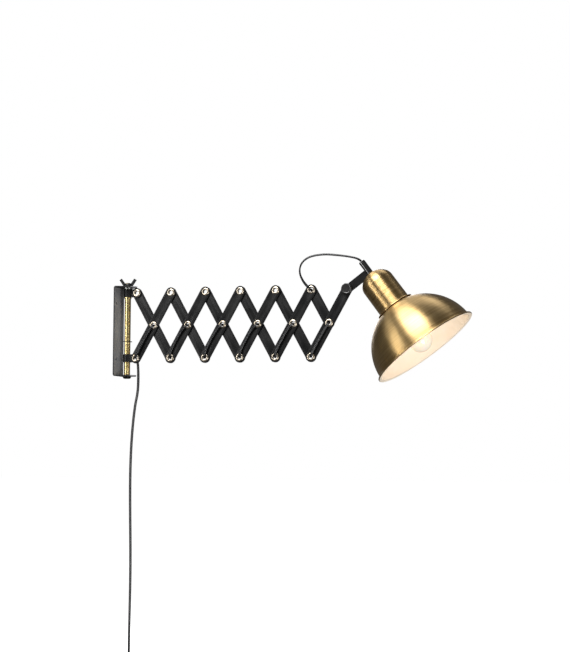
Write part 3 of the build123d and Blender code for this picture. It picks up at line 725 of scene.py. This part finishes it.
flexValues = {
    "width": 5.0, "thickness": 3.1,  # mm across both cores and across one
    "around": 20, "smooth": 50,  # points round it, and the degrees up to which its faces shade as one
}
barSide = barPlace(firstTop, 1).to_3x3() @ Vector((1, 0, 0))  # across a front bar


def smoothPath(points, resolution=8):
    # the route's NURBS spline, read back as points
    curve = bpy.data.curves.new("route", "CURVE")
    curve.dimensions, curve.resolution_u = "3D", resolution
    spline = curve.splines.new("NURBS")
    spline.points.add(len(points) - 1)
    for point, place in zip(spline.points, points):
        point.co = (*place, 1.0)
    spline.order_u = 3
    spline.use_endpoint_u = True
    source = addObject("route", curve)
    bpy.context.view_layer.update()
    graph = bpy.context.evaluated_depsgraph_get()
    mesh = bpy.data.meshes.new_from_object(source.evaluated_get(graph), depsgraph=graph)
    path = [vertex.co.copy() for vertex in mesh.vertices]
    bpy.data.objects.remove(source)
    return path


def skin(name, rows, finish, capped=True):
    # one closed mesh through rows of points; without caps the last row joins the first
    work = bmesh.new()
    rings = [[work.verts.new(spot) for spot in row] for row in rows]
    count = len(rings[0])
    for before, after in zip(rings, rings[1:] if capped else rings[1:] + rings[:1]):
        for n in range(count):
            work.faces.new((before[n], before[(n + 1) % count], after[(n + 1) % count], after[n]))
    if capped:
        work.faces.new(rings[0][::-1])
        work.faces.new(rings[-1])
    bmesh.ops.recalc_face_normals(work, faces=work.faces)
    mesh = bpy.data.meshes.new(name)
    work.to_mesh(mesh)
    work.free()
    mesh.materials.append(finishes[finish])
    return mesh


def sweepFlex(name, path, widthAt):
    # twin flex: two round cores side by side; widthAt gives the direction across them
    core = flexValues["thickness"] / 2 * mm
    apart = flexValues["width"] / 2 * mm - core
    ring = []
    for c, s in ringPoints(1, flexValues["around"]):
        reach = abs(apart * c) + math.sqrt(core ** 2 - (apart * s) ** 2)
        ring.append((reach * c, reach * s))
    rows, last = [], None
    for i, place in enumerate(path):
        along = (path[min(i + 1, len(path) - 1)] - path[max(i - 1, 0)]).normalized()
        across = Vector(widthAt(i / (len(path) - 1), place))
        across = (across - along * across.dot(along)).normalized()
        if last is not None and across.dot(last) < 0:
            across = -across  # keeps the flat side from turning over
        last = across
        through = along.cross(across)
        rows.append([place + across * x + through * y for x, y in ring])
    return skin(name, rows, "blackFlexSheath")


laceValues = {  # mm
    "depth": 6.35, "overStrap": 8.5,  # from the arm's middle to the cord's, on a bar and on the first strap
    "loopStart": -5.2,  # where the last stretch goes over into the loop
    "drift": (2.0, 5.2, 5.2, 5.0, 3.9, 1.3),  # how far each front stretch lies left of its bar's middle
    "driftFrom": 15,
}


def lacedRoute(length, start, end, offset, finish):
    # out of one rivet, along the bar and into the next, in the bar's own directions and mm
    points = [(0, 0, 0), (0, 0, start)]
    if offset:
        room = laceValues["driftFrom"]
        points += [(-offset, room, start), (-offset, length - room, end)]
    return points + [(0, length, end), (0, length, finish)]


def makeLaced():
    v = laceValues
    half = barReach / 2 / mm
    for k in range(1, barPairs + 1):
        last = k == barPairs
        start = v["overStrap"] if k == 1 else v["depth"]
        front = lacedRoute(half, start, v["depth"], v["drift"][k - 1], 0.0)
        back = lacedRoute(half, v["depth"], v["depth"], 0.0, v["loopStart"] if last else 0.0)
        backPlace = barPlace(crossingPivot(k) if last else bottomPivot(k + 1), -1)
        for name, body, node, place, route, face in (  # face is -1 in front of the bar and 1 behind it
            ("frontLace", "front_arm", "front_cord", barPlace(bottomPivot(k), 1), front, -1),
            ("backLace", "back_arm", "back_cord", backPlace, back, 1),
        ):
            across = place.to_3x3() @ Vector((1, 0, 0))
            points = []
            for x, y, z in route:
                flat = place @ Vector((x * mm, y * mm, 0))
                points.append(Vector((flat.x, face * z * mm, flat.z)))
            mesh = sweepFlex(f"{name}.{k}", smoothPath(points), lambda share, spot, across=across: across)
            settle(addObject(f"{name}.{k}", mesh), f"{body}_{k}", [f"{node}_{k}"],
                   flexValues["smooth"])


loopValues = {
    "points": (  # mm from the last hollow rivet, as the CAD's route
        (0, -5.05, 0), (0, -10.5, 0), (-12.5, -13.5, 14), (-20.5, -13, 31), (-18.5, -12, 47),
        (-8, -11, 58.5), (8, -10, 64), (30, -8, 66), (51, -5, 64), (71, -2, 61.5),
    ),
    "stem": (211.5, 195.5, 109.6),  # mm above the rim, down the stem
    "splitAt": 4,  # the point at the left of the loop, where two pieces meet
    "middle": (28, 0, 36), "woundFrom": 0.04, "woundOver": 0.3,  # mm, and shares of its length
    "outward": 0.5, "backward": 0.87,  # how the flat side faces once it is wound
    "stemEntry": 0.2,  # metres above the rim
}


def makeLoop():
    v = loopValues
    start = topPivot(barPairs)
    points = [start + Vector(p) * mm for p in v["points"]]
    points += [headPlace @ Vector((0, 0, z * mm)) for z in v["stem"]]
    path = smoothPath(points)
    split = min(range(len(path)), key=lambda i: (path[i] - points[v["splitAt"]]).length)
    middle = start + Vector(v["middle"]) * mm

    def width(share, spot):
        # the flat side is wound round the loop, turned a little towards the front
        turn = min(1.0, max(0.0, (share - v["woundFrom"]) / v["woundOver"]))
        wound = (spot - middle).normalized() * v["outward"] + Vector((0, v["backward"], 0))
        return barSide * (1 - turn) + wound * turn

    count = len(path) - 1
    rest = count - split
    near = sweepFlex("loopNear", path[:split + 1], lambda s, spot: width(s * split / count, spot))
    far = sweepFlex("loopFar", path[split:], lambda s, spot: width((split + s * rest) / count, spot))
    near, far = addObject("loopNear", near), addObject("loopFar", far)
    settle(near, None, ["loop_cord"], flexValues["smooth"])
    settle(far, None, ["loop_cord"], flexValues["smooth"])
    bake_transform(near)
    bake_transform(far)


hangValues = {
    "points": (  # mm across, forward or back, and down from the first bottom rivet, as the CAD's route
        (2.4, 0.8, 24), (2.2, 0.9, 64), (-3.6, 0.5, 90), (-8.4, -0.2, 138), (-11.2, 0.2, 190),
        (-12.0, 1.1, 245), (-11.2, 1.6, 303), (-9.6, 1.3, 362), (-8.7, 0.5, 420), (-9.0, 0.0, 478),
        (-9.8, 0.2, 536), (-9.8, 0.2, 590),
    ),
    "behindRivet": 6.1, "behindArm": 5.7,  # mm
    "coilRadius": 25.0, "coilPitch": 5.8, "lead": 4.4, "tail": 14.0,  # mm
    "coilTurns": 7, "pointsPerTurn": 12,
    "fall": 590.0,  # mm from the rivet to the coil; the next three are shares of it
    "untwisted": 0.06, "coiledFrom": 0.75, "coiledOver": 0.22,
    "flatSide": (0.96, 0.28, 0),  # how the twin cores lie between rivet and coil
    "resolution": 5,
    "length": 1.70,  # metres of flex from the lower strap to the plug
}


def makeHanging():
    v = hangValues
    start = bottomPivot(1)
    points = [start, start + Vector((0, v["behindRivet"], 0)) * mm]
    points += [start + Vector((x, v["behindArm"] + y, -fall)) * mm for x, y, fall in v["points"]]
    begin = points[-1] - Vector((0, 0, v["lead"])) * mm
    centre = begin + Vector((0, v["coilRadius"], 0)) * mm
    # the spline cuts inside its points, so they lie a little further out than the coil
    reach = v["coilRadius"] / math.cos(math.pi / v["pointsPerTurn"]) * mm
    for n in range(1, v["coilTurns"] * v["pointsPerTurn"]):
        turns = n / v["pointsPerTurn"]
        a = 2 * math.pi * turns
        slide = v["coilPitch"] * mm * turns
        points.append(centre + Vector((slide, -reach * math.cos(a), -reach * math.sin(a))))
    leave = begin + Vector((v["coilPitch"] * v["coilTurns"], 0, 0)) * mm
    end = leave - Vector((0, 0, v["tail"])) * mm
    points += [leave, end]
    path = smoothPath(points, v["resolution"])

    def width(share, spot):
        # from the bar's side to the cord's own below the rivet, and square to the coil at its foot
        fallen = (start.z - spot.z) / (v["fall"] * mm)
        free = min(1.0, max(0.0, fallen / v["untwisted"]))
        coiled = min(1.0, max(0.0, (fallen - v["coiledFrom"]) / v["coiledOver"]))
        hung = barSide * (1 - free) + Vector(v["flatSide"]) * free
        return hung * (1 - coiled) + Vector((1, 0, 0)) * coiled

    cord = addObject("hangingFlex", sweepFlex("hangingFlex", path, width))
    settle(cord, "lower_slide", ["hanging_cord", "cord_coil"], flexValues["smooth"])
    return cord, path, centre, end


def softRing(wide, deep, powers, count=48):
    # points round a rounded box; a lower power is squarer
    return [(wide * math.copysign(abs(c) ** powers[0], c), deep * math.copysign(abs(s) ** powers[1], s))
            for c, s in ringPoints(1, count)]


tieValues = {  # mm
    "wide": 25.0, "deep": 3.3, "band": 4.5, "powers": (0.35, 0.5),
    "section": ((0.0, -1), (0.8, -1), (1.0, 0), (0.8, 1), (0.0, 1), (-0.2, 0)),  # out, and share of the band
}


def makeTie(centre):
    # a soft hook-and-loop strap round the coil's turns, at their back
    v = tieValues
    coilHalf = hangValues["coilPitch"] * hangValues["coilTurns"] / 2
    middle = centre + Vector((coilHalf, hangValues["coilRadius"], 0)) * mm
    loop = softRing(v["wide"] * mm, v["deep"] * mm, v["powers"])
    rows = []
    for out, share in v["section"]:
        grow = 1 + out / v["wide"], 1 + out / v["deep"]
        rows.append([middle + Vector((x * grow[0], y * grow[1], v["band"] * mm * share)) for x, y in loop])
    mesh = skin("coilTie", rows, "mattPlugPvc", False)
    return settle(addObject("coilTie", mesh), "lower_slide")


plugValues = {  # mm
    "relief": 24.0, "reliefTop": 2.75, "reliefFoot": 4.9, "segments": 40,
    "ribs": 5, "firstRib": 3.0, "ribPitch": 4.0, "ribRadius": 2.9, "ribGrow": 0.42,
    "ribSection": ((0.0, 0.0), (0.55, 0.5), (0.6, 1.9), (0.1, 2.4)),  # out and down from the rib's start
    "width": 35.0, "thickness": 13.5, "powers": (0.6, 0.6),
    "grip": (  # mm down from the relief, share of the thickness and share of the width
        (0.0, 0.57, 0.42), (0.8, 0.65, 0.5), (4.0, 0.72, 0.72), (9.0, 0.9, 0.9), (16.0, 0.98, 0.98),
        (26.0, 1.0, 1.0), (36.0, 1.0, 1.0), (37.4, 0.98, 0.98), (38.0, 0.93, 0.93),
    ),
    "pinch": 0.10, "pinchAt": 15, "pinchReach": 6,  # where finger and thumb hold it
}


def makePlug(entry):
    v = plugValues
    section = [(0.0, 0.0), (v["reliefTop"], 0.0)]
    for n in range(v["ribs"]):
        radius, fall = v["ribRadius"] + v["ribGrow"] * n, v["firstRib"] + v["ribPitch"] * n
        section += [(radius + out, -fall - down) for out, down in v["ribSection"]]
    section += [(v["reliefFoot"], -v["relief"]), (0.0, -v["relief"])]
    mesh = spin("plugRelief", section, "mattPlugPvc", Matrix.Translation(entry), v["segments"])
    relief = settle(addObject("plugRelief", mesh), "lower_slide", ["plug"])
    rows = []
    for down, thick, wide in v["grip"]:
        pinch = 1.0 - v["pinch"] * math.exp(-((v["pinchAt"] - down) / v["pinchReach"]) ** 2)
        ring = softRing(v["thickness"] / 2 * thick, v["width"] / 2 * wide * pinch, v["powers"])
        rows.append([entry + Vector((x, y, -v["relief"] - down)) * mm for x, y in ring])
    mesh = skin("plugGrip", rows, "mattPlugPvc")
    return relief, settle(addObject("plugGrip", mesh), "lower_slide", ["plug"])


makeLaced()
makeLoop()
hangingFlex, hangingPath, coilCentre, coilEnd = makeHanging()
coilTie = makeTie(coilCentre)
plugRelief, plugGrip = makePlug(coilEnd)
print("cord made")

studioValues = {
    "floor": -0.80, "floorHalf": 30.0,  # metres
    "roomForCamera": 1.0, "roomForLight": 0.13,  # how bright the room is behind the lamp and as its light
}
lightValues = {  # metres and watts; size runs along the across direction first
    # up the head's axis, so it draws a band down the brass and leaves the flat bars dark
    "keyLight": {
        "place": (0.02, -1.38, 1.72), "target": (0.5, 0, 0), "size": (1.6, 1.2), "power": 92,
        "across": headTurn @ Vector((1, 0, 0)),
    },
    # for the rod, the stem and the laced cord
    "stripLight": {"place": (-1.2, -1.6, 0.1), "target": (0.2, 0, 0), "size": (0.4, 1.7), "power": 22},
    # into the shade
    "mouthLight": {"place": (1.5, -1.2, -0.6), "target": (0.6, 0, -0.03), "size": (0.8, 0.8), "power": 20},
    "topLight": {"place": (0.3, 0.9, 1.9), "target": (0.3, 0, 0), "size": (1.6, 0.6), "power": 10},
    "backLight": {"place": (-0.6, 2.6, 0.9), "target": (0.3, 0, 0), "size": (1.2, 1.2), "power": 22},
}


def addLight(name):
    v = lightValues[name]
    data = bpy.data.lights.new(name, "AREA")
    data.shape, data.energy = "RECTANGLE", v["power"]
    data.size, data.size_y = v["size"]
    light = bpy.data.objects.new(name, data)
    light.visible_camera = False
    back = (Vector(v["place"]) - Vector(v["target"])).normalized()
    up = back.cross(Vector(v.get("across", (1, 0, 0)))).normalized()
    turn = Matrix((up.cross(back), up, back)).transposed().to_4x4()
    light.matrix_world = Matrix.Translation(v["place"]) @ turn
    bpy.context.scene.collection.objects.link(light)


def makeStudio():
    v = studioValues
    half, level = v["floorHalf"], v["floor"]
    mesh = bpy.data.meshes.new("paleFloor")
    corners = [(x * half, y * half, level) for x, y in ((-1, -1), (1, -1), (1, 1), (-1, 1))]
    mesh.from_pydata(corners, [], [(0, 1, 2, 3)])
    mesh.materials.append(finishes["matWhiteBoard"])
    floor = addObject("paleFloor", mesh)
    floor.visible_glossy = floor.visible_diffuse = False  # only the soft boxes and the room light the lamp
    world = bpy.data.worlds.new("studio")
    bpy.context.scene.world = world
    world.use_nodes = True
    tree = world.node_tree
    background = tree.nodes["Background"]
    background.inputs["Color"].default_value = hexColour("#ffffff")
    rays = addNode(tree, "ShaderNodeLightPath")
    strength = addNode(tree, "ShaderNodeMapRange", {
        "To Min": v["roomForLight"], "To Max": v["roomForCamera"],
    }, {"Value": rays.outputs["Is Camera Ray"]})
    tree.links.new(strength.outputs[0], background.inputs["Strength"])
    for name in lightValues:
        addLight(name)
    bpy.context.scene.view_settings.view_transform = "Standard"
    bpy.context.scene.view_settings.look = "None"


makeStudio()
print("studio made")
